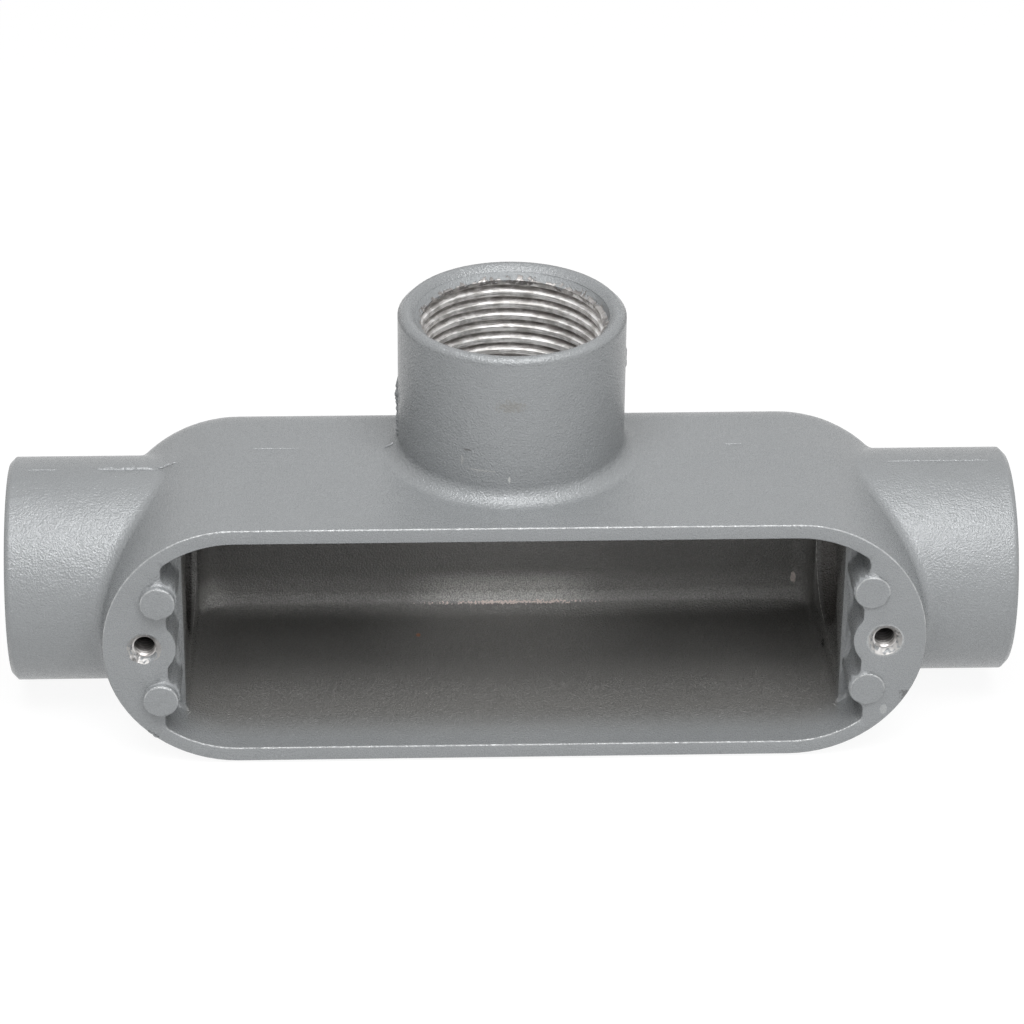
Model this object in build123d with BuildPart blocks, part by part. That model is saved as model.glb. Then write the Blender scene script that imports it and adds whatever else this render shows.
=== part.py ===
from build123d import *
from math import radians, sqrt, tan
import os

# Conduit body, tee pattern, for 1 inch threaded conduit: one aluminium casting.
# X runs along the straight run and +Z points up the branch hub.
# The cover opening faces -Y, and the part stands on the side away from the branch.
# The origin is where the axes of the three hubs cross. Lengths are in millimetres.

# Hubs
run_length = 174.0  # mouth to mouth of the two run hubs
branch_height = 49.7  # run axis to the branch hub's mouth
hub_diameter = 39.0
mouth_chamfer = 1.0  # outer edge of a hub's mouth
lip_chamfer = 1.0  # inner edge of a hub's mouth
joint_blend = 3.0  # fillet where a hub leaves the body

# Bores: the thread's root, then the smooth throat that stops the conduit
thread_diameter = 33.2
thread_depth = 20.5
throat_diameter = 24.2
throat_chamfer = 1.0

# Body: an oval with full round ends, drafted both ways from the plane of the hub axes
end_centres = 94.7  # distance between the centres of the two round ends
face_width = 45.5  # across the oval, at the cover face
face_distance = 28.0  # hub axes to the cover face
back_distance = 20.0  # hub axes to the back
body_draft = 1.0  # degrees
back_rounding = 10.3
face_chamfer = 0.3  # outer edge of the cover face

# Wiring chamber
side_wall = 2.7  # at the cover face
back_wall = 2.8
end_wall_draft = 2.2  # degrees
chamber_draft = 1.0  # degrees
chamber_rounding = 4.0  # between the back wall and the walls round it
corner_rounding = 2.0  # between the end walls and the side walls
opening_chamfer = 0.2

# Scalloped land at each end of the opening, and the ledge behind it
land_width = 10.35  # the oval's end to the land's flat edge
ledge_width = 3.05  # the land's flat edge to the end wall
ledge_depth = 8.5  # cover face to ledge
ledge_chamfer = 0.6
middle_step = 0.7  # how far the land's middle stands in from the flat edges beside it
scallop_rounding = 1.8  # inside corners of the scallops

# Screw bosses and ejector columns, which stand out of the lands
screw_set_back = 3.25  # screw axis behind the land's flat edge
boss_diameter = 10.9
column_set_back = 0.65  # column axis behind the land's flat edge
column_spacing = 19.1
column_diameter = 6.5
pad_diameter = 6.0  # mark that an ejector pin leaves on its column
left_pad_height = 1.6
right_pad_height = 0.3
pad_draft = 3.0  # degrees

# Tapped holes for the cover screws
screw_diameter = 4.17
screw_depth = 11.5
countersink_diameter = 5.9
countersink_angle = 90.0


def drafted(distance, angle):
    """How far a wall leans over a distance"""
    return distance * tan(radians(angle))


def half_chord(diameter, offset):
    """Half the width of a circle, at a distance from its centre"""
    return sqrt((diameter / 2) ** 2 - offset**2)


def hub_mouths():
    """The end faces of the three hubs"""
    faces = conduit_body.faces()
    return [faces.sort_by(Axis.X)[0], faces.sort_by(Axis.X)[-1], faces.sort_by(Axis.Z)[-1]]


# Sketch planes: out from the hub axes to the front and to the back, and in from the cover face
to_front = Plane.XZ
to_back = Plane(origin=(0, 0, 0), x_dir=(1, 0, 0), z_dir=(0, 1, 0))
into_chamber = Plane(origin=(0, -face_distance, 0), x_dir=(1, 0, 0), z_dir=(0, 1, 0))
cover_face = Plane.XZ.offset(face_distance)
right_mouth = Plane.YZ.offset(run_length / 2)
left_mouth = Plane(origin=(-run_length / 2, 0, 0), x_dir=(0, 1, 0), z_dir=(-1, 0, 0))
branch_mouth = Plane.XY.offset(branch_height)

# Sizes that follow from the ones above
parting_width = face_width + 2 * drafted(face_distance, body_draft)
opening_width = face_width - 2 * side_wall
land_spacing = end_centres + face_width - 2 * land_width
chamber_length = land_spacing - 2 * ledge_width
screw_spacing = land_spacing + 2 * screw_set_back
column_x = land_spacing / 2 + column_set_back
outer_pocket = half_chord(opening_width, (land_spacing - end_centres) / 2)
outer_pocket -= column_spacing / 2 + half_chord(column_diameter, column_set_back)
inner_pocket = column_spacing / 2 - half_chord(column_diameter, column_set_back + middle_step)
inner_pocket -= half_chord(boss_diameter, screw_set_back + middle_step)
pocket_rounding = min(scallop_rounding, 0.7 * outer_pocket, 0.7 * inner_pocket)
chamber_depth = face_distance + back_distance - back_wall
ledge_y = ledge_depth - face_distance
chamber_back_y = back_distance - back_wall
ledge_width_across = opening_width - 2 * drafted(ledge_depth, chamber_draft)
chamber_back_x = chamber_length / 2 - drafted(chamber_back_y - ledge_y, end_wall_draft)

# Core of the wiring chamber: the space that the casting's walls are formed round
with BuildPart() as core:
    # Plan of one half behind the ledges, mirrored to the other end
    with BuildSketch(Plane.XY):
        with BuildLine():
            front = Line((0, ledge_y), (chamber_length / 2, ledge_y))
            end_wall = Line(front @ 1, (chamber_back_x, chamber_back_y))
            Line(end_wall @ 1, (0, chamber_back_y))
            mirror(about=Plane.YZ)
        make_face()
    extrude(amount=face_width / 2, both=True)

    # Drafted side walls, and the rounding between the walls
    with BuildSketch(into_chamber):
        SlotCenterToCenter(end_centres, opening_width)
    extrude(amount=chamber_depth, taper=chamber_draft, mode=Mode.INTERSECT)
    wall_corners = core.edges().filter_by(
        lambda edge: abs((edge @ 0.5).X) > chamber_back_x and abs((edge @ 0.5).Y) < back_distance / 2
    )
    fillet(wall_corners, radius=corner_rounding)
    fillet(core.faces().sort_by(Axis.Y)[-1].edges(), radius=chamber_rounding)

    # The ledges' broken edge
    with BuildSketch(into_chamber.offset(ledge_depth)) as ledge_edge:
        SlotCenterToCenter(end_centres, ledge_width_across)
        Rectangle(chamber_length + 2 * ledge_chamfer, ledge_width_across, mode=Mode.INTERSECT)
        corners = ledge_edge.vertices().filter_by(lambda corner: abs(corner.X) > chamber_length / 2)
        fillet(corners, radius=corner_rounding)
    extrude(amount=ledge_chamfer, taper=45)

    # The scalloped mouth, down to the ledges
    with BuildSketch(into_chamber) as opening:
        SlotCenterToCenter(end_centres, opening_width)
        Rectangle(land_spacing, opening_width, mode=Mode.INTERSECT)
        with GridLocations(land_spacing, 0, 2, 1):
            Rectangle(2 * middle_step, column_spacing, mode=Mode.SUBTRACT)
        with GridLocations(screw_spacing, 0, 2, 1):
            Circle(boss_diameter / 2, mode=Mode.SUBTRACT)
        with GridLocations(2 * column_x, column_spacing, 2, 2):
            Circle(column_diameter / 2, mode=Mode.SUBTRACT)
        corners = opening.vertices().filter_by(lambda corner: abs(corner.X) > chamber_length / 2)
        fillet(corners, radius=pocket_rounding)
    extrude(amount=ledge_depth, taper=chamber_draft)

# The casting
with BuildPart() as conduit_body:
    # Outer form of the body
    with BuildSketch(to_front):
        SlotCenterToCenter(end_centres, parting_width)
    extrude(amount=face_distance, taper=body_draft)
    with BuildSketch(to_back):
        SlotCenterToCenter(end_centres, parting_width)
    extrude(amount=back_distance, taper=body_draft)
    fillet(conduit_body.faces().sort_by(Axis.Y)[-1].edges(), radius=back_rounding)

    # The two run hubs and the branch hub, blended into the body
    with BuildSketch(Plane.YZ):
        Circle(hub_diameter / 2)
    extrude(amount=run_length / 2, both=True)
    run_joints = conduit_body.edges(Select.NEW)
    with BuildSketch(Plane.XY):
        Circle(hub_diameter / 2)
    extrude(amount=branch_height)
    branch_joint = conduit_body.edges(Select.NEW)
    fillet(run_joints + branch_joint, radius=joint_blend)

    # Broken outer edges
    chamfer([edge for mouth in hub_mouths() for edge in mouth.edges()], length=mouth_chamfer)
    chamfer(conduit_body.faces().sort_by(Axis.Y)[0].edges(), length=face_chamfer)

    # Wiring chamber
    add(core.part, mode=Mode.SUBTRACT)
    opening_wire = conduit_body.faces().sort_by(Axis.Y)[0].inner_wires()[0]
    chamfer(opening_wire.edges(), length=opening_chamfer)

    # Ejector pads on the cover face, which stand higher at the left end
    for x, pad_height in ((-column_x, left_pad_height), (column_x, right_pad_height)):
        with BuildSketch(cover_face):
            with Locations((x, -column_spacing / 2), (x, column_spacing / 2)):
                Circle(pad_diameter / 2)
        extrude(amount=pad_height, taper=pad_draft)

    # Threaded bore and throat in each hub
    with Locations(right_mouth, left_mouth):
        CounterBoreHole(throat_diameter / 2, thread_diameter / 2, thread_depth, depth=run_length / 2)
    with Locations(branch_mouth):
        CounterBoreHole(throat_diameter / 2, thread_diameter / 2, thread_depth, depth=branch_height)
    circles = conduit_body.edges().filter_by(GeomType.CIRCLE)
    throat_edges = circles.filter_by(lambda circle: abs(circle.radius * 2 - throat_diameter) < 0.001)
    chamfer(throat_edges, length=throat_chamfer)
    chamfer([mouth.inner_wires()[0].edge() for mouth in hub_mouths()], length=lip_chamfer)

    # Holes for the cover screws
    with Locations(cover_face):
        with GridLocations(screw_spacing, 0, 2, 1):
            CounterSinkHole(
                screw_diameter / 2,
                countersink_diameter / 2,
                depth=screw_depth,
                counter_sink_angle=countersink_angle,
            )

conduit_body.part.label = "conduit_body"
os.makedirs("parts", exist_ok=True)
export_step(conduit_body.part, "parts/conduit_body.step")
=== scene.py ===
import math
import random

import bpy
from mathutils import Matrix, Vector, noise


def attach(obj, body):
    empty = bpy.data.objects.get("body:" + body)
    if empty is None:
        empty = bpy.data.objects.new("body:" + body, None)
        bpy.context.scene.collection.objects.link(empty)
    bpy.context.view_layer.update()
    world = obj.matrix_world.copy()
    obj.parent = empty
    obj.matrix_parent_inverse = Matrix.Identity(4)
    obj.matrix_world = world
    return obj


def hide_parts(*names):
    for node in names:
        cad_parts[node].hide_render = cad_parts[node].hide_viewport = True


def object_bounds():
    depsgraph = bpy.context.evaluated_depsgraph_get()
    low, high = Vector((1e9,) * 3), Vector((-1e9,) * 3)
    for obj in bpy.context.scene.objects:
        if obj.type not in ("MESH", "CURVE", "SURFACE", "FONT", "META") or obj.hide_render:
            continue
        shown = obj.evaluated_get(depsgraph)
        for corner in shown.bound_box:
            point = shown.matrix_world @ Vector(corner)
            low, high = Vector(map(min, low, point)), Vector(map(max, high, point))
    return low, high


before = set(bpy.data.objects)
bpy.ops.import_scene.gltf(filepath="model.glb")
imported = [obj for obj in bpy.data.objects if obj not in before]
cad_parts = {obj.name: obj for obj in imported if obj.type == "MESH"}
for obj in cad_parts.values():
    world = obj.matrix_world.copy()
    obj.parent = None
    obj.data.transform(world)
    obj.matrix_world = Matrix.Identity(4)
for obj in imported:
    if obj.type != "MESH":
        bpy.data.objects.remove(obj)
cad_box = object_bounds()
bpy.ops.object.select_all(action="DESELECT")
random.seed(11)


# The casting: one piece of die-cast aluminium with three hubs, a wiring chamber and scalloped
# ends. It is sprayed grey after it is machined, and the spray dries to a satin skin over the
# fine grain of the cast surface. Lengths are in metres.
def focus(piece):
    """Make a piece the only one selected"""
    bpy.ops.object.select_all(action="DESELECT")
    piece.select_set(True)
    bpy.context.view_layer.objects.active = piece


def new_piece(name, mesh):
    piece = bpy.data.objects.new(name, mesh)
    bpy.context.scene.collection.objects.link(piece)
    focus(piece)
    return piece


merge_distance = 0.000002
smooth_below = math.radians(52)
casting = new_piece("casting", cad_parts["conduit_body"].data.copy())
bpy.ops.object.mode_set(mode="EDIT")
bpy.ops.mesh.select_all(action="SELECT")
bpy.ops.mesh.remove_doubles(threshold=merge_distance)
bpy.ops.object.mode_set(mode="OBJECT")
bpy.ops.object.shade_smooth_by_angle(angle=smooth_below)

# The lip of each mouth stays a clean cone: its inner edge is sharp, where the bore begins
run_mouth = 0.0870
branch_mouth = 0.0497
lip_height = 0.0010
bore_radius = 0.0166
near_enough = 0.00002


def on_bore_edge(point, axis, mouth):
    """Whether a point is on the lip's inner edge, in a hub along one axis"""
    across = [value for number, value in enumerate(point) if number != axis]
    at_level = abs(abs(point[axis]) - (mouth - lip_height)) < near_enough
    return at_level and abs(math.hypot(*across) - bore_radius) < near_enough


for edge in casting.data.edges:
    ends = [casting.data.vertices[index].co for index in edge.vertices]
    for axis, mouth in ((0, run_mouth), (2, branch_mouth)):
        if all(on_bore_edge(end, axis, mouth) for end in ends):
            edge.use_edge_sharp = True
weighting = casting.modifiers.new("soft edges", "WEIGHTED_NORMAL")
weighting.keep_sharp = True
weighting.weight = 90
bpy.ops.object.modifier_apply(modifier=weighting.name)


def node(tree, kind, place, **settings):
    """A shader node at a place in the editor, counted in columns and rows"""
    made = tree.nodes.new(kind)
    made.location = (place[0] * 200, place[1] * 160)
    for key, value in settings.items():
        setattr(made, key, value)
    return made


def feed(tree, socket, value):
    """Set a socket to a number or a colour, or link it to another node's output"""
    if isinstance(value, (int, float)):
        socket.default_value = value
    elif isinstance(value, tuple):
        socket.default_value = (*value, 1.0)
    else:
        tree.links.new(value, socket)


def math_node(tree, operation, place, *values):
    made = node(tree, "ShaderNodeMath", place, operation=operation)
    for socket, value in zip(made.inputs, values):
        feed(tree, socket, value)
    return made.outputs[0]


def product(tree, place, first, *others):
    """Masks multiplied together"""
    for step, other in enumerate(others):
        first = math_node(tree, "MULTIPLY", (place[0] + step, place[1]), first, other)
    return first


def ramp(tree, place, value, low, high, to_low=0.0, to_high=1.0):
    """Smooth step of a value between two limits, which falls where low is the larger"""
    made = node(tree, "ShaderNodeMapRange", place, interpolation_type="SMOOTHSTEP")
    tree.links.new(value, made.inputs["Value"])
    made.inputs["From Min"].default_value = low
    made.inputs["From Max"].default_value = high
    made.inputs["To Min"].default_value = to_low
    made.inputs["To Max"].default_value = to_high
    return made.outputs["Result"]


def mix_colour(tree, place, factor, first, second):
    made = node(tree, "ShaderNodeMix", place, data_type="RGBA")
    sockets = (made.inputs[0], made.inputs[6], made.inputs[7])
    for socket, value in zip(sockets, (factor, first, second)):
        feed(tree, socket, value)
    return made.outputs[2]


def noise_texture(tree, place, where, scale, detail, roughness=0.5):
    """Noise from 0 to 1, whose scale is in waves to the metre"""
    made = node(tree, "ShaderNodeTexNoise", place)
    tree.links.new(where, made.inputs["Vector"])
    feed(tree, made.inputs["Scale"], scale)
    made.inputs["Detail"].default_value = detail
    made.inputs["Roughness"].default_value = roughness
    return made.outputs["Fac"]


def new_group(name, inputs, outputs):
    """A node group with named sockets, and what its two ends hold"""
    made = bpy.data.node_groups.new(name, "ShaderNodeTree")
    for way, sockets in (("INPUT", inputs), ("OUTPUT", outputs)):
        for key, kind in sockets.items():
            made.interface.new_socket(key, in_out=way, socket_type="NodeSocket" + kind)
    start = node(made, "NodeGroupInput", (0, 0))
    end = node(made, "NodeGroupOutput", (6, 0))
    return made, start.outputs, end.inputs


# Grain of the cast skin: fine pits and a slow unevenness, grit in the spray, and large patches
grain, given, wanted = new_group(
    "Cast grain",
    {"Place": "Vector", "Pits per metre": "Float", "Unevenness": "Float"},
    {"Height": "Float", "Grit": "Float", "Mottle": "Float"},
)
fine, slow, grit, blotch = (
    noise_texture(
        grain,
        (1, row),
        given["Place"],
        math_node(grain, "MULTIPLY", (0, row - 1), given["Pits per metre"], share),
        detail,
        roughness,
    )
    for row, share, detail, roughness in (
        (1, 1.0, 2.0, 0.55),
        (-1, 0.11, 2.0, 0.5),
        (-3, 1.6, 1.0, 0.5),
        (-5, 0.03, 4.0, 0.5),
    )
)
height = math_node(grain, "MULTIPLY_ADD", (3, 0), slow, given["Unevenness"], fine)
grain.links.new(height, wanted["Height"])
grain.links.new(ramp(grain, (3, -3), grit, 0.36, 0.66), wanted["Grit"])
grain.links.new(blotch, wanted["Mottle"])


pits_per_metre = 2900.0


def grain_on(tree, place, where, unevenness):
    """The cast grain on a material, at the fineness that the whole casting has"""
    made = node(tree, "ShaderNodeGroup", place, node_tree=grain)
    tree.links.new(where, made.inputs["Place"])
    made.inputs["Pits per metre"].default_value = pits_per_metre
    made.inputs["Unevenness"].default_value = unevenness
    return made.outputs


# A small mark on the skin: a spot with a ragged edge at a place of its own
spots, given, wanted = new_group(
    "Ragged spot",
    {"Place": "Vector", "Centre": "Vector", "Half size": "Vector", "Raggedness": "Float"},
    {"Mask": "Float"},
)
offset = node(spots, "ShaderNodeVectorMath", (1, 0), operation="SUBTRACT")
spots.links.new(given["Place"], offset.inputs[0])
spots.links.new(given["Centre"], offset.inputs[1])
scaled = node(spots, "ShaderNodeVectorMath", (2, 0), operation="DIVIDE")
spots.links.new(offset.outputs[0], scaled.inputs[0])
spots.links.new(given["Half size"], scaled.inputs[1])
distance = node(spots, "ShaderNodeVectorMath", (3, 0), operation="LENGTH")
spots.links.new(scaled.outputs[0], distance.inputs[0])
ragged_edge = noise_texture(spots, (1, -2), given["Place"], 2600.0, 3.0)
wander = math_node(spots, "SUBTRACT", (2, -2), ragged_edge, 0.5)
reach = math_node(
    spots, "MULTIPLY_ADD", (4, 0), wander, given["Raggedness"], distance.outputs["Value"]
)
spots.links.new(ramp(spots, (5, 0), reach, 1.15, 0.80), wanted["Mask"])


def spot(tree, place, where, centre, half_size, raggedness):
    """Mask of one ragged spot"""
    made = node(tree, "ShaderNodeGroup", place, node_tree=spots)
    tree.links.new(where, made.inputs["Place"])
    made.inputs["Centre"].default_value = centre
    made.inputs["Half size"].default_value = half_size
    made.inputs["Raggedness"].default_value = raggedness
    return made.outputs["Mask"]


def band(tree, place, value, low, high, softness):
    """Mask of a value between two limits, soft at both"""
    rising = ramp(tree, place, value, low - softness, low + softness)
    falling = ramp(tree, (place[0], place[1] - 1), value, high + softness, high - softness)
    return product(tree, (place[0] + 1, place[1]), rising, falling)


def past(tree, place, value, limit):
    """How far a value is past a limit, or nothing before it"""
    beyond = math_node(tree, "SUBTRACT", place, value, limit)
    return math_node(tree, "MAXIMUM", (place[0] + 1, place[1]), beyond, 0.0)


def distance_to(tree, place, across, along, centre=(0.0, 0.0)):
    """Distance in a plane from a point"""
    across = math_node(tree, "SUBTRACT", place, across, centre[0])
    along = math_node(tree, "SUBTRACT", (place[0], place[1] - 1), along, centre[1])
    squares = math_node(tree, "MULTIPLY", (place[0] + 1, place[1]), across, across)
    squares = math_node(tree, "MULTIPLY_ADD", (place[0] + 2, place[1]), along, along, squares)
    return math_node(tree, "SQRT", (place[0] + 3, place[1]), squares)


def new_material(name):
    made = bpy.data.materials.new(name)
    made.use_nodes = True
    tree = made.node_tree
    skin = tree.nodes["Principled BSDF"]
    skin.location = (1600, 0)
    tree.nodes["Material Output"].location = (1900, 0)
    return made, tree, skin


paint, tree, skin = new_material("Grey spray paint on cast aluminium")
spray_dark = (0.264, 0.275, 0.283)
spray_pale = (0.294, 0.305, 0.313)
thin_spray = (0.296, 0.291, 0.280)
foot_highlight_tone = (0.92, 0.91, 0.88)
grit_tone = (0.055, 0.055, 0.054)
left_throat_shade = (0.040, 0.037, 0.035)
right_throat_shade = (0.150, 0.142, 0.134)
edge_highlight_tone = (0.56, 0.57, 0.57)
burr_highlight_tone = (1.0, 0.98, 0.95)

place = node(tree, "ShaderNodeTexCoord", (-8, 0)).outputs["Object"]
skin_grain = grain_on(tree, (-2, 0), place, 0.7)
axes = node(tree, "ShaderNodeSeparateXYZ", (-7, -3))
tree.links.new(place, axes.inputs["Vector"])
x, y, z = axes.outputs
side = math_node(tree, "ABSOLUTE", (-6, -4), x)
level = math_node(tree, "ABSOLUTE", (-6, -5), z)

# How far a point is from the middle line of the oval, seen from the front
round_end = 0.04735
past_end = past(tree, (-6, -3), side, round_end)
from_line = distance_to(tree, (-4, -3), past_end, z)

# Masks fade between the two limits of a span, from outside the mask to inside it.
# Inside the chamber the spray is thin and warm. The back's roundings turn about a line, and the
# chamber's walls are all nearer to it than the middle of the metal is.
turn_from_line = 0.0127
turn_behind_hubs = 0.0097
middle_of_metal = 0.0092
over_edge = past(tree, (-2, -2), from_line, turn_from_line)
to_back = past(tree, (-2, -3), y, turn_behind_hubs)
from_turn = distance_to(tree, (-1, -3), over_edge, to_back)
behind_wall = ramp(tree, (2, -3), from_turn, middle_of_metal + 0.0005, middle_of_metal)
# The lands and the ledges are sprayed as well as the outside is: the thin part starts behind them
ledge_span = (0.0560, 0.0572)
behind_by = 0.0055
thinning_span = (-0.0262, -0.0150)
past_ledge = ramp(tree, (0, -5), side, *ledge_span)
how_far_in = math_node(tree, "MULTIPLY_ADD", (1, -5), past_ledge, -behind_by, y)
below_face = ramp(tree, (2, -4), how_far_in, *thinning_span)
inside = product(tree, (3, -3), behind_wall, below_face)
colour = mix_colour(tree, (1, 2), skin_grain["Mottle"], spray_dark, spray_pale)
colour = mix_colour(tree, (4, 2), inside, colour, thin_spray)

# Behind the opening the foot of the back wall is gritty. A painted highlight makes it nearly white
# where light falls on it: most in the middle, below the branch's bore, less towards the ends, a
# little more in the left corner
above_floor = (-0.0181, -0.0173)
down_the_wall = (-0.0108, -0.0152)
towards_back = (0.0125, 0.0145)
middle_of_wall = (0.0060, 0.0200)
left_corner = (-0.0490, -0.0530)
middle_share = 1.0
end_share = 0.24
corner_share = 0.30
foot_highlight_strength = 0.86
foot = product(
    tree,
    (0, -27),
    ramp(tree, (-1, -26), z, *above_floor),
    ramp(tree, (-1, -27), z, *down_the_wall),
    ramp(tree, (0, -28), y, *towards_back),
    behind_wall,
)
in_middle = ramp(tree, (0, -29), side, *middle_of_wall, middle_share, end_share)
in_left_corner = ramp(tree, (0, -30), x, *left_corner, 0.0, corner_share)
foot_highlight_share = math_node(tree, "ADD", (2, -29), in_middle, in_left_corner)
foot = product(tree, (4, -27), foot, foot_highlight_share, foot_highlight_strength)
colour = mix_colour(tree, (4, 3), foot, colour, foot_highlight_tone)

# Dark grit shows through the spray, most of all where it is thin
outside_grit = 0.10
inside_grit = 0.62
grit_share = ramp(tree, (3, 1), inside, 0.0, 1.0, outside_grit, inside_grit)
dark_grit = math_node(tree, "SUBTRACT", (3, 0), 1.0, skin_grain["Grit"])
dark_grit = product(tree, (4, 1), dark_grit, grit_share)
colour = mix_colour(tree, (5, 2), dark_grit, colour, grit_tone)

# Painted shade: the run throats beyond the end walls are painted dark, the left one darker, for
# the shade in them. A burr, painted as a bright highlight, shows where they break through
throat_wall = (0.0132, 0.0128)
throat_start = (0.0560, 0.0566)
throat_end = (0.0668, 0.0664)
burr_ring = (0.0122, 0.0126)
burr_width = (0.0548, 0.0575)
burr_strength = 1.3
from_run = distance_to(tree, (-4, -8), y, z)
in_throat = product(
    tree,
    (0, -8),
    ramp(tree, (-1, -8), from_run, *throat_wall),
    ramp(tree, (-1, -9), side, *throat_start),
    ramp(tree, (0, -9), side, *throat_end),
)
to_right = ramp(tree, (4, 0), x, -0.01, 0.01)
throat_shade = mix_colour(tree, (5, 1), to_right, left_throat_shade, right_throat_shade)
colour = mix_colour(tree, (6, 2), in_throat, colour, throat_shade)
burr = product(
    tree,
    (2, -9),
    band(tree, (0, -11), from_run, *burr_ring, 0.00010),
    band(tree, (0, -13), side, *burr_width, 0.0003),
    ramp(tree, (2, -10), y, -0.0020, 0.0030, 0.0, burr_strength),
)

# Painted highlights along edges: the cover face's upper outer edge and lower inner edge, the pads'
# edges (most of all at their tops) and the right countersink's rim are painted paler where light
# catches them
cover_face = -0.0280
outer_rim = (0.02250, 0.02290)
inner_rim = (0.01990, 0.02026)
pad_rim = (0.00276, 0.00300)
countersink_rim = (0.00290, 0.00318)
softness = 0.00006
countersink_share = 0.8
edge_highlight_strength = 0.70
at_face = ramp(tree, (-2, -15), y, cover_face + 0.00030, cover_face + 0.00015)
above = ramp(tree, (-2, -16), z, -0.004, 0.004)
below = ramp(tree, (-2, -18), z, 0.004, -0.004)
outer_edge = band(tree, (-1, -15), from_line, *outer_rim, softness)
outer_edge = product(tree, (1, -15), outer_edge, above)
between_lands = ramp(tree, (-1, -17), side, 0.0600, 0.0592)
inner_edge = band(tree, (0, -18), from_line, *inner_rim, softness)
inner_edge = product(tree, (1, -17), inner_edge, between_lands, below)

pad_x = 0.0604
pad_z = 0.00955
left_pad_top = -0.0296
right_pad_top = -0.0283
from_pad = distance_to(tree, (-4, -20), side, level, (pad_x, pad_z))
on_left_top = ramp(tree, (0, -21), y, left_pad_top + 0.00030, left_pad_top + 0.00018)
on_right_top = product(
    tree,
    (1, -21),
    ramp(tree, (0, -22), y, right_pad_top + 0.00018, right_pad_top + 0.00010),
    ramp(tree, (0, -23), x, -0.0100, 0.0100),
)
on_pad = math_node(tree, "MAXIMUM", (2, -21), on_left_top, on_right_top)
which_pad = math_node(tree, "SIGN", (0, -24), z)
above_pad = math_node(tree, "MULTIPLY_ADD", (1, -24), which_pad, -pad_z, z)
pad_edge = product(
    tree,
    (2, -20),
    band(tree, (0, -20), from_pad, *pad_rim, softness),
    on_pad,
    ramp(tree, (2, -24), above_pad, -0.0012, 0.0012, 0.12, 1.0),
)

screw_x = 0.0630
from_screw = distance_to(tree, (-4, -22), x, z, (screw_x, 0.0))
screw_edge = band(tree, (0, -22), from_screw, *countersink_rim, 0.00008)
screw_edge = product(tree, (2, -22), screw_edge, countersink_share)
edges = math_node(tree, "MAXIMUM", (2, -15), outer_edge, inner_edge)
edges = math_node(tree, "MAXIMUM", (3, -15), edges, pad_edge)
edges = math_node(tree, "MAXIMUM", (4, -15), edges, screw_edge)
broken = noise_texture(tree, (4, -18), place, 1500.0, 4.0)
unbroken = ramp(tree, (5, -18), broken, 0.34, 0.62, 0.30, 1.0)
lit_edges = product(tree, (5, -15), edges, at_face, unbroken)
edge_highlight_share = product(tree, (7, -15), lit_edges, edge_highlight_strength)
colour = mix_colour(tree, (7, 2), edge_highlight_share, colour, edge_highlight_tone)
# Painted highlight: the burr is a ragged near-white line, stronger towards the back
torn_burr_highlight = product(tree, (7, -9), burr, ramp(tree, (6, -9), broken, 0.40, 0.52))
colour = mix_colour(tree, (7, 1), torn_burr_highlight, colour, burr_highlight_tone)

# Marks of casting and handling, and one painted highlight: centre, half size, raggedness, tone and
# strength of each
marks = {
    "brown stain on the branch": (
        (-0.0010, -0.0195, 0.0410), (0.0021, 0.0030, 0.0010), 3.4, (0.190, 0.172, 0.138), 0.32,
    ),
    "tick on the branch": (
        (-0.0081, -0.0178, 0.0322), (0.0006, 0.0020, 0.0002), 2.4, (0.060, 0.055, 0.050), 0.55,
    ),
    "scratch at the branch's foot": (
        (-0.0057, -0.0188, 0.0287), (0.0025, 0.0020, 0.00013), 1.6, (0.560, 0.550, 0.520), 0.36,
    ),
    "scratch above it": (
        (-0.0089, -0.0176, 0.0301), (0.0002, 0.0020, 0.0009), 1.6, (0.520, 0.510, 0.480), 0.30,
    ),
    "nick in the fillet": (
        (-0.0010, -0.0208, 0.0273), (0.00025, 0.0020, 0.0007), 1.8, (0.640, 0.640, 0.620), 0.60,
    ),
    "scuff on the cover face": (
        (0.0669, cover_face, -0.0107), (0.0008, 0.0010, 0.0008), 3.2, (0.090, 0.090, 0.090), 0.65,
    ),
    "lump on the cover face": (
        (0.0634, cover_face, -0.0138), (0.0006, 0.0010, 0.0010), 0.6, (0.420, 0.430, 0.430), 0.60,
    ),
    "nick in the back wall": (
        (0.0522, 0.0172, -0.0136), (0.0005, 0.0020, 0.0012), 0.8, (0.850, 0.760, 0.720), 0.85,
    ),
    # Painted highlight, where light through the branch's bore falls on the foot of the back wall
    "painted highlight behind the branch": (
        (0.0005, 0.0164, -0.0177), (0.0100, 0.0018, 0.00022), 5.0, (1.000, 0.850, 0.790), 0.75,
    ),
    "copper speck on the floor": (
        (-0.0160, 0.0080, -0.0194), (0.0004, 0.0006, 0.0010), 0.4, (0.460, 0.200, 0.120), 0.85,
    ),
    "dark fleck by the right throat": (
        (0.0555, -0.0010, -0.0165), (0.0015, 0.0012, 0.0008), 1.6, (0.020, 0.018, 0.016), 0.85,
    ),
}
for row, (centre, half_size, raggedness, tone, strength) in enumerate(marks.values()):
    mark = spot(tree, (6, 4 + row), place, centre, half_size, raggedness)
    mark = product(tree, (7, 4 + row), mark, strength)
    colour = mix_colour(tree, (8 + row, 2), mark, colour, tone)
tree.links.new(colour, skin.inputs["Base Color"])
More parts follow.
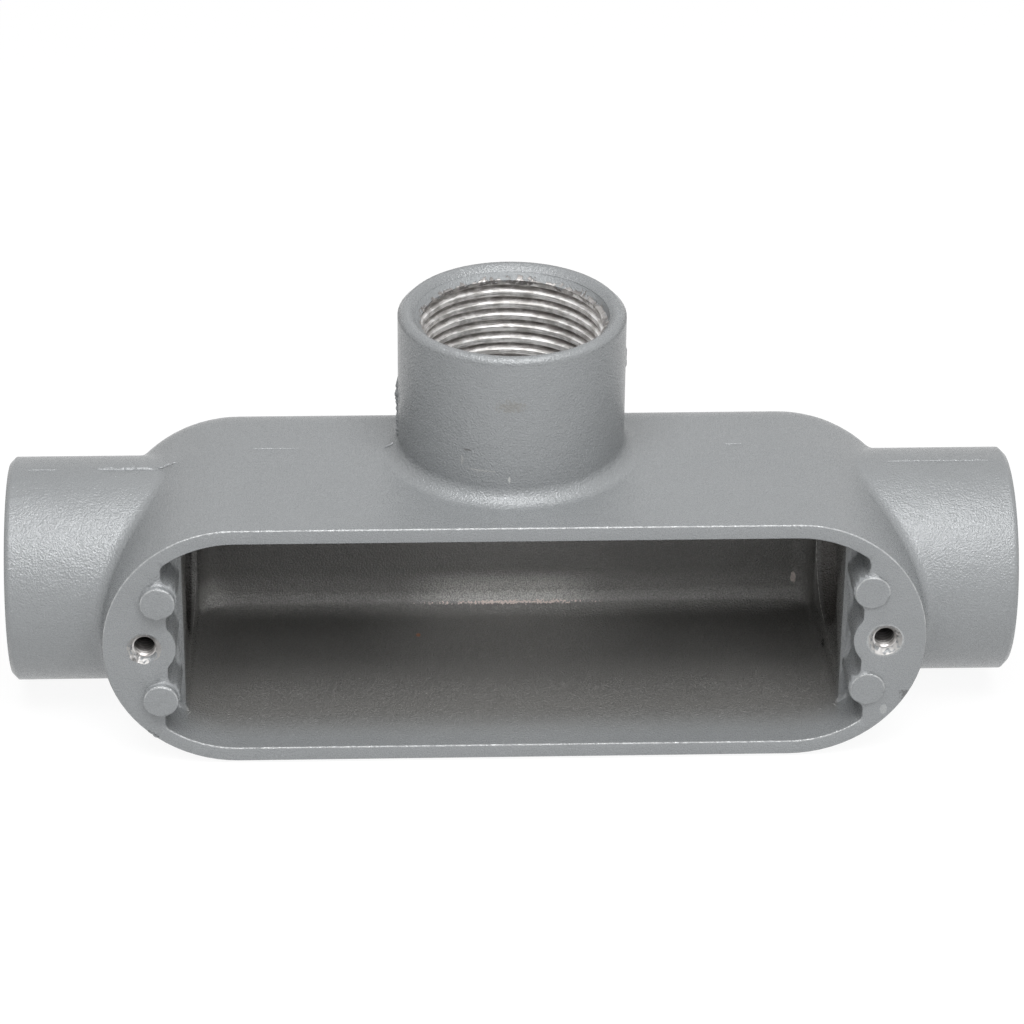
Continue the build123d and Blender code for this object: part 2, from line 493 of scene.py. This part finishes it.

# Where the spray's grit lies, and on the edges with painted highlights, the skin is glossier
skin_rough = 0.32
grit_rough = 0.21
lit_edge_gloss = -0.08
grain_depth = 0.00027
outside_strength = 0.66
inside_strength = 1.0
satin = ramp(tree, (5, 0), skin_grain["Grit"], 0.0, 1.0, skin_rough, grit_rough)
satin = math_node(tree, "MULTIPLY_ADD", (8, 0), lit_edges, lit_edge_gloss, satin)
tree.links.new(satin, skin.inputs["Roughness"])
skin.inputs["Metallic"].default_value = 0.15
skin.inputs["Specular IOR Level"].default_value = 0.5
relief = node(tree, "ShaderNodeBump", (6, -2))
relief.inputs["Distance"].default_value = grain_depth
tree.links.new(skin_grain["Height"], relief.inputs["Height"])
strength = ramp(tree, (5, -3), inside, 0.0, 1.0, outside_strength, inside_strength)
tree.links.new(strength, relief.inputs["Strength"])
tree.links.new(relief.outputs["Normal"], skin.inputs["Normal"])

casting.data.materials.clear()
casting.data.materials.append(paint)
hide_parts("conduit_body")
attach(casting, "root")


# Threads of the three hubs and of the two cover screws. They are tapped in the casting, so they
# are bare aluminium with a little dirt and painted shade at their roots, and the spray only
# reaches the first turn of the hubs'.
metal, tree, skin = new_material("Cut aluminium thread")
metal_dark = (0.50, 0.487, 0.473)
metal_pale = (0.90, 0.89, 0.88)
dirt_and_shade_tone = (0.330, 0.305, 0.295)
dull_dark = (0.24, 0.235, 0.23)
dull_pale = (0.62, 0.61, 0.60)
first_turn = (0.34, 0.325, 0.315)
fleck_tone = (0.060, 0.052, 0.048)
deep_shade = (0.030, 0.026, 0.024)
spray_on_lip = (0.276, 0.287, 0.295)
bare_metallic = 0.80
sprayed_metallic = 0.25
tool_mark_depth = 0.00004
clean_rough = 0.32
torn_rough = 0.52
cone_rough = 0.22
spray_rough = 0.55
spray_relief = 7.0
dirt_and_shade_from_crest = (0.10, 0.62)
least_dirt_and_shade = 0.35
most_dirt_and_shade = 0.72
tear_length = 0.0036
spray_edge = (-0.00008, 0.00012)
first_turn_span = (-0.0014, -0.0004)
first_turn_strength = 0.75
fleck_band = (-0.0008, 0.0000)
fleck_strength = 0.62


def attribute(tree, place, name):
    """A value that the thread's mesh holds"""
    return node(tree, "ShaderNodeAttribute", place, attribute_name=name).outputs["Fac"]


turned_place = node(tree, "ShaderNodeAttribute", (-4, 0), attribute_name="turned_place")
local = turned_place.outputs["Vector"]
stretch = node(tree, "ShaderNodeMapping", (-3, -1))
stretch.inputs["Scale"].default_value = (0.12, 0.12, 3.0)
tree.links.new(local, stretch.inputs["Vector"])
tool_lines = noise_texture(tree, (-2, -1), stretch.outputs["Vector"], 2400.0, 4.0)
tears = noise_texture(tree, (-2, -2), local, 900.0, 5.0)
smear = noise_texture(tree, (-2, 2), local, 420.0, 3.0)
# Dirt and painted shade: the grooves darken from the crest towards the root
dirt_and_shade = product(
    tree,
    (0, -2),
    ramp(tree, (-1, -2), attribute(tree, (-4, -2), "groove"), *dirt_and_shade_from_crest),
    ramp(tree, (-1, -3), tears, 0.35, 0.6, least_dirt_and_shade, most_dirt_and_shade),
)
smear_swing = math_node(tree, "SUBTRACT", (-1, 2), smear, 0.5)
streak = math_node(tree, "MULTIPLY_ADD", (-1, 1), smear_swing, 1.3, tool_lines)
colour = mix_colour(tree, (0, 1), ramp(tree, (0, 2), streak, 0.28, 0.66), metal_dark, metal_pale)
colour = mix_colour(tree, (1, 1), dirt_and_shade, colour, dirt_and_shade_tone)

# The countersinks' cones are rough and duller, from a blunt cutter
on_cone = attribute(tree, (-4, -8), "cone")
dull = mix_colour(tree, (0, 3), tears, dull_dark, dull_pale)
colour = mix_colour(tree, (1, 3), on_cone, colour, dull)

# The spray runs down the lead-in as far as the first thread, with a torn edge and dark flecks
tear_swing = math_node(tree, "SUBTRACT", (-2, -5), tears, 0.5)
sprayed = attribute(tree, (-4, -5), "sprayed")
torn = math_node(tree, "MULTIPLY_ADD", (-1, -5), tear_swing, tear_length, sprayed)
skinned = ramp(tree, (0, -5), torn, *spray_edge)
lead_in = ramp(tree, (1, -4), torn, *first_turn_span, 0.0, first_turn_strength)
colour = mix_colour(tree, (1, 2), lead_in, colour, first_turn)
flecked = product(
    tree,
    (1, -6),
    band(tree, (0, -7), torn, *fleck_band, 0.00015),
    ramp(tree, (0, -6), smear, 0.44, 0.56),
    fleck_strength,
)
colour = mix_colour(tree, (2, 1), flecked, colour, fleck_tone)
colour = mix_colour(tree, (3, 0), attribute(tree, (-4, -7), "dimmed"), colour, deep_shade)
colour = mix_colour(tree, (3, 1), skinned, colour, spray_on_lip)
tree.links.new(colour, skin.inputs["Base Color"])
metallic = ramp(tree, (4, 2), skinned, 0.0, 1.0, bare_metallic, sprayed_metallic)
tree.links.new(metallic, skin.inputs["Metallic"])
cut_rough = ramp(tree, (1, 0), tool_lines, 0.3, 0.7, clean_rough, torn_rough)
cut_rough = math_node(tree, "MULTIPLY_ADD", (2, 0), on_cone, cone_rough, cut_rough)
lip_rough = product(tree, (3, -1), skinned, spray_rough)
rough = math_node(tree, "MAXIMUM", (4, 0), cut_rough, lip_rough)
tree.links.new(rough, skin.inputs["Roughness"])
relief = node(tree, "ShaderNodeBump", (2, -2))
relief.inputs["Distance"].default_value = tool_mark_depth
relief.inputs["Strength"].default_value = 0.6
cut_height = math_node(tree, "MULTIPLY_ADD", (1, -2), tears, 1.5, tool_lines)
lip_grain = grain_on(tree, (-1, -9), local, 0.5)
spray_height = product(tree, (1, -9), lip_grain["Height"], spray_relief)
height = math_node(tree, "MULTIPLY_ADD", (1, -3), skinned, spray_height, cut_height)
tree.links.new(height, relief.inputs["Height"])
tree.links.new(relief.outputs["Normal"], skin.inputs["Normal"])


def turned_helix(name, pitch, crest_radius, root_radius, crest_share, turns, start, steps):
    """One turn's outline, extruded point by point and screwed up along +Z"""
    bpy.ops.mesh.primitive_plane_add(size=pitch)
    piece = bpy.context.active_object
    piece.name = name
    flank_share = 0.47
    flank = flank_share * (1 - crest_share)
    outline = (
        (crest_radius, 0.0),
        (crest_radius, crest_share),
        (root_radius, crest_share + flank),
        (root_radius, 1 - flank),
        (crest_radius, 1.0),
    )
    bpy.ops.object.mode_set(mode="EDIT")
    bpy.ops.mesh.select_mode(type="VERT")
    bpy.ops.mesh.select_all(action="SELECT")
    bpy.ops.mesh.merge(type="CENTER")
    bpy.ops.transform.translate(value=(crest_radius, 0, start))
    for (radius, height), (next_radius, next_height) in zip(outline, outline[1:]):
        step = (next_radius - radius, 0, (next_height - height) * pitch)
        bpy.ops.mesh.extrude_vertices_move(TRANSFORM_OT_translate={"value": step})
    bpy.ops.object.mode_set(mode="OBJECT")
    screw = piece.modifiers.new("helix", "SCREW")
    screw.axis = "Z"
    screw.steps = steps
    screw.render_steps = steps
    screw.iterations = turns
    screw.screw_offset = pitch
    screw.use_merge_vertices = True
    screw.merge_threshold = 0.000001
    bpy.ops.object.modifier_apply(modifier=screw.name)
    return piece


def cut_end(piece, height, keep_above, loops, chatter):
    """Cut a thread off at a height, and draw its end out through loops of other radii"""
    up_and_down = 0.3 * chatter
    bpy.ops.mesh.select_all(action="SELECT")
    bpy.ops.mesh.bisect(
        plane_co=(0, 0, height),
        plane_no=(0, 0, 1),
        clear_inner=keep_above,
        clear_outer=not keep_above,
    )
    for radius, level in loops:
        bpy.ops.mesh.extrude_edges_move(TRANSFORM_OT_translate={"value": (0, 0, 0)})
        bpy.ops.object.mode_set(mode="OBJECT")
        for vertex in piece.data.vertices:
            if vertex.select:
                uneven_radius = radius + chatter * random.uniform(-1, 1)
                flat = vertex.co.to_2d().normalized() * uneven_radius
                uneven_level = level + up_and_down * random.uniform(-1, 1)
                vertex.co = (flat.x, flat.y, uneven_level)
        bpy.ops.object.mode_set(mode="EDIT")


def tapped_wall(name, thread):
    """Thread in a hole that opens towards +Z at the origin, with its lead-in and its inner end"""
    pitch = thread["pitch"]
    crest_radius = thread["crest_radius"]
    root_radius = thread["root_radius"]
    first = thread["first"]
    last = thread["last"]
    piece = turned_helix(
        name,
        pitch,
        crest_radius,
        root_radius,
        thread["crest_share"],
        turns=int((last - first) / pitch) + 3,
        start=-last - 1.5 * pitch,
        steps=thread["steps"],
    )
    bpy.ops.object.mode_set(mode="EDIT")
    bpy.ops.mesh.select_all(action="SELECT")
    bpy.ops.mesh.remove_doubles(threshold=merge_distance)
    into_the_wall = root_radius * 1.04
    cut_end(piece, -last, True, ((into_the_wall, -last),), thread["chatter"])
    cut_end(piece, -first, False, thread["rim"], thread["chatter"])
    bpy.ops.mesh.select_all(action="SELECT")
    bpy.ops.mesh.normals_make_consistent(inside=False)
    bpy.ops.object.mode_set(mode="OBJECT")

    # What the material reads, from before the taper draws the turns in. All the attributes are
    # made before one is filled, because a new one moves the others.
    dimming_depth = 0.0022
    kinds = {
        "groove": "FLOAT",
        "turned_place": "FLOAT_VECTOR",
        "sprayed": "FLOAT",
        "dimmed": "FLOAT",
        "cone": "FLOAT",
    }
    for key, kind in kinds.items():
        piece.data.attributes.new(key, kind, "POINT")
    kept = [piece.data.attributes[key].data for key in kinds]
    for vertex, groove, place, sprayed, dimmed, cone in zip(piece.data.vertices, *kept):
        radius = math.hypot(vertex.co.x, vertex.co.y)
        into_hole = -first - vertex.co.z
        on_thread = into_hole >= -0.000001
        how_deep = min(1.0, max(0.0, (radius - crest_radius) / (root_radius - crest_radius)))
        groove.value = how_deep if on_thread else 0.0
        cone.value = 0.0 if on_thread else 1.0
        sprayed.value = vertex.co.z + thread["sprayed_to"]
        dimmed.value = thread["dimming"] * min(1.0, max(0.0, into_hole / dimming_depth))
        place.vector = vertex.co
        narrowing = 1 - thread["taper"] * into_hole / radius
        vertex.co.x *= narrowing
        vertex.co.y *= narrowing
    bpy.ops.object.shade_smooth_by_angle(angle=math.radians(30))
    piece.data.materials.clear()
    piece.data.materials.append(metal)
    return piece


def seat(piece, mouth, outwards):
    """Put a hole's mouth at its place, opening outwards"""
    turn = Vector((0, 0, 1)).rotation_difference(Vector(outwards)).to_matrix().to_4x4()
    piece.data.transform(Matrix.Translation(mouth) @ turn)
    piece.data.update()
    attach(piece, "root")


# Pipe thread of the hubs: right-handed, 11.5 to the inch, and 1 in 16 narrower across going in
hub_thread = {
    "pitch": 0.0254 / 11.5,
    "crest_radius": 0.01548,
    "root_radius": 0.01656,
    "crest_share": 0.36,
    "first": 0.0021,
    "last": 0.0200,
    "taper": 1 / 32,
    "steps": 112,
    "rim": ((0.01664, -0.00098),),
    "chatter": 0.0,
    "sprayed_to": 0.0020,
    "dimming": 0.0,
}
for name, mouth, outwards in (
    ("branch_thread", (0, 0, branch_mouth), (0, 0, 1)),
    ("right_thread", (run_mouth, 0, 0), (1, 0, 0)),
    ("left_thread", (-run_mouth, 0, 0), (-1, 0, 0)),
):
    seat(tapped_wall(name, hub_thread), mouth, outwards)

# Machine thread of the cover screws, 32 to the inch, below a countersink that no spray reaches
screw_thread = {
    "pitch": 0.0254 / 32,
    "crest_radius": 0.00178,
    "root_radius": 0.00207,
    "crest_share": 0.12,
    "first": 0.0009,
    "last": 0.0090,
    "taper": 0.0,
    "steps": 36,
    "rim": (
        (0.00209, -0.00086),
        (0.00238, -0.00055),
        (0.00266, -0.00027),
        (0.00296, 0.00001),
    ),
    "chatter": 0.00009,
    "sprayed_to": -1.0,
    "dimming": 0.85,
}
for name, hole_x in (("right_screw_thread", screw_x), ("left_screw_thread", -screw_x)):
    seat(tapped_wall(name, screw_thread), (hole_x, cover_face, 0), (0, -1, 0))


# Flash: beads of metal that squeeze out where the die's halves and slides meet, along the plane
# of the hub axes, at the edge of the cover face and at the ends of the ledges. The spray covers
# them.
def flash(name, start, end, outwards, height, half_width):
    """Ragged bead between two points of the casting's skin, with its foot buried in it"""
    along = Vector(end) - Vector(start)
    out = Vector(outwards).normalized()
    side = out.cross(along).normalized()
    division = 0.00015
    pieces_along = max(6, int(along.length / division))
    bpy.ops.mesh.primitive_grid_add(x_subdivisions=pieces_along, y_subdivisions=2, size=1)
    piece = bpy.context.active_object
    piece.name = name
    lump_length = 0.0011
    own_pattern = (height * 9000, along.length * 900)
    buried = -0.00008
    for vertex in piece.data.vertices:
        travelled = vertex.co.x + 0.5
        across = 2 * vertex.co.y
        at = Vector((travelled * along.length / lump_length, *own_pattern))
        ragged = noise.fractal(at, 0.6, 2.0, 3)
        thinning = min(1.0, 7 * travelled, 7 * (1 - travelled))
        crest = height * thinning * max(0.35, 0.80 + 0.5 * ragged)
        rise = crest if abs(across) < 0.5 else buried
        slip = half_width * (across + 0.6 * ragged)
        vertex.co = Vector(start) + along * travelled + side * slip + out * rise
    piece.data.update()
    piece.data.materials.clear()
    piece.data.materials.append(paint)
    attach(piece, "root")


hub_radius = 0.0195
wall_top = 0.02324
up = (0, 0, 1)
off_ledge = (0, -0.9, 0.3)
beads = {
    "left_hub_flash": (
        (-0.0716, 0, hub_radius), (-0.0612, 0, hub_radius), up, 0.00034, 0.00030,
    ),
    "left_joint_flash": (
        (-0.0614, 0, hub_radius), (-0.0578, 0, 0.0208), (-0.34, 0, 0.94), 0.00018, 0.00016,
    ),
    "left_mouth_flash": (
        (-0.0838, 0, hub_radius), (-0.0780, 0, hub_radius), up, 0.00010, 0.00016,
    ),
    "right_hub_flash": (
        (0.0640, 0, hub_radius), (0.0840, 0, hub_radius), up, 0.00010, 0.00016,
    ),
    "branch_left_flash": (
        (-hub_radius, 0, 0.0372), (-hub_radius, 0, 0.0238), (-1, 0, 0), 0.00048, 0.00060,
    ),
    "branch_right_flash": (
        (hub_radius, 0, 0.0425), (hub_radius, 0, 0.0382), (1, 0, 0), 0.00026, 0.00030,
    ),
    "branch_foot_flash": (
        (-0.0220, 0, 0.02328), (-0.0203, 0, 0.0242), (-0.45, 0, 0.89), 0.00020, 0.00020,
    ),
    "wall_left_flash": (
        (-0.0453, 0, wall_top), (-0.0362, 0, wall_top), up, 0.00008, 0.00014,
    ),
    "wall_right_flash": (
        (0.0370, 0, wall_top), (0.0402, 0, wall_top), up, 0.00008, 0.00014,
    ),
    "face_edge_flash": (
        (-0.0629, -0.0279, -0.0163), (-0.0611, -0.0279, -0.0177), (-0.64, -0.1, -0.76),
        0.00040, 0.00026,
    ),
    "left_ledge_flash": (
        (-0.0576, -0.0192, -0.0174), (-0.0560, -0.0192, -0.0187), off_ledge, 0.00026, 0.00018,
    ),
    "right_ledge_flash": (
        (0.0574, -0.0192, -0.0174), (0.0558, -0.0192, -0.0187), off_ledge, 0.00026, 0.00018,
    ),
}
for name, bead in beads.items():
    flash(name, *bead)


# The floor: a plain white table that runs out of sight, on which the part lies. To the eye and in
# reflections it is nearly as white as the room behind it, and it keeps the part's soft shadow.
def sees_background(tree, place):
    """1 for the rays that meet the plain background: straight, mirrored, or through glass"""
    rays = node(tree, "ShaderNodeLightPath", place).outputs
    seen = math_node(
        tree, "MAXIMUM", (place[0] + 1, place[1]), rays["Is Camera Ray"], rays["Is Glossy Ray"]
    )
    return math_node(tree, "MAXIMUM", (place[0] + 2, place[1]), seen, rays["Is Transmission Ray"])


def lit_and_glowing(tree, row, grey, glow):
    """A matt surface of one grey that also gives light"""
    matt = node(tree, "ShaderNodeBsdfDiffuse", (1, row))
    matt.inputs["Color"].default_value = (grey, grey, grey, 1)
    glowing = node(tree, "ShaderNodeEmission", (1, row - 1))
    glowing.inputs["Strength"].default_value = glow
    both = node(tree, "ShaderNodeAddShader", (2, row))
    tree.links.new(matt.outputs[0], both.inputs[0])
    tree.links.new(glowing.outputs[0], both.inputs[1])
    return both.outputs[0]


table_size = 6.0
just_below = 0.00002
bpy.ops.mesh.primitive_plane_add(size=table_size, location=(0, 0, 0))
floor = bpy.context.active_object
floor.name = "floor"
floor.data.transform(Matrix.Translation((0, 0, cad_box[0][2] - just_below)))
table, tree, skin = new_material("White table")
tree.nodes.remove(skin)
look = node(tree, "ShaderNodeMixShader", (3, 0))
tree.links.new(sees_background(tree, (0, 2)), look.inputs[0])
tree.links.new(lit_and_glowing(tree, 0, grey=0.82, glow=0.05), look.inputs[1])
tree.links.new(lit_and_glowing(tree, -2, grey=0.11, glow=0.92), look.inputs[2])
tree.links.new(look.outputs[0], tree.nodes["Material Output"].inputs["Surface"])
floor.data.materials.append(table)


# The room and its light: white walls, and large soft lights above and in front of the part, with
# two weak ones low down, at its right.
room = bpy.data.worlds.new("Studio")
bpy.context.scene.world = room
room.use_nodes = True
tree = room.node_tree
backdrop = tree.nodes["Background"]
backdrop.inputs["Color"].default_value = (1, 1, 1, 1)
to_the_part = 0.04
to_the_eye = 1.0
background = sees_background(tree, (-4, 2))
room_strength = ramp(tree, (-1, 2), background, 0.0, 1.0, to_the_part, to_the_eye)
tree.links.new(room_strength, backdrop.inputs["Strength"])


def soft_light(name, azimuth, elevation, distance, width, height, power):
    """A rectangular softbox that looks at the part; azimuth 0 is in front of it"""
    lamp = bpy.data.lights.new(name, "AREA")
    lamp.shape = "RECTANGLE"
    lamp.size = width
    lamp.size_y = height
    lamp.energy = power
    holder = bpy.data.objects.new(name, lamp)
    bpy.context.scene.collection.objects.link(holder)
    turn = math.radians(azimuth)
    rise = math.radians(elevation)
    level = math.cos(rise)
    away = Vector((math.sin(turn) * level, -math.cos(turn) * level, math.sin(rise)))
    holder.location = away * distance
    holder.rotation_euler = away.to_track_quat("Z", "Y").to_euler()
    holder.visible_camera = False


# Azimuth and elevation in degrees, distance, width and height in metres, power in watts
lights = {
    "overhead light": (0, 89.9, 1.0, 0.9, 0.9, 1.0),
    "main light": (0, 69, 1.1, 0.9, 0.6, 8.2),
    "front light": (0, 55, 1.1, 0.9, 0.4, 5.3),
    "low light": (18, 34, 1.1, 0.7, 0.14, 2.0),
    "right light": (75, 20, 1.1, 0.6, 0.5, 0.5),
}
for name, setting in lights.items():
    soft_light(name, *setting)


# The camera: it stands where the photograph was taken from, in front of the part and a little to
# the left, and looks down at it through a long lens.
camera_data = bpy.data.cameras.new("camera")
camera_data.sensor_width = 36.0
camera_data.lens = 142.7
camera_data.clip_start = 0.05
camera_data.clip_end = 20.0
camera = bpy.data.objects.new("camera", camera_data)
bpy.context.scene.collection.objects.link(camera)
bpy.context.scene.camera = camera
pitch = math.radians(29.24)
yaw = math.radians(2.42)
roll = math.radians(0.562)
looked_at = Vector((0.000305, 0, 0.01017))
camera_distance = 0.7087
level = math.cos(pitch)
looking = Vector((math.sin(yaw) * level, math.cos(yaw) * level, -math.sin(pitch)))
heading = Matrix.Rotation(-yaw, 4, "Z")
tilt = Matrix.Rotation(math.radians(90) - pitch, 4, "X")
lean = Matrix.Rotation(roll, 4, "Z")
stand = Matrix.Translation(looked_at - looking * camera_distance)
camera.matrix_world = stand @ heading @ tilt @ lean

bpy.context.scene.view_settings.view_transform = "Standard"
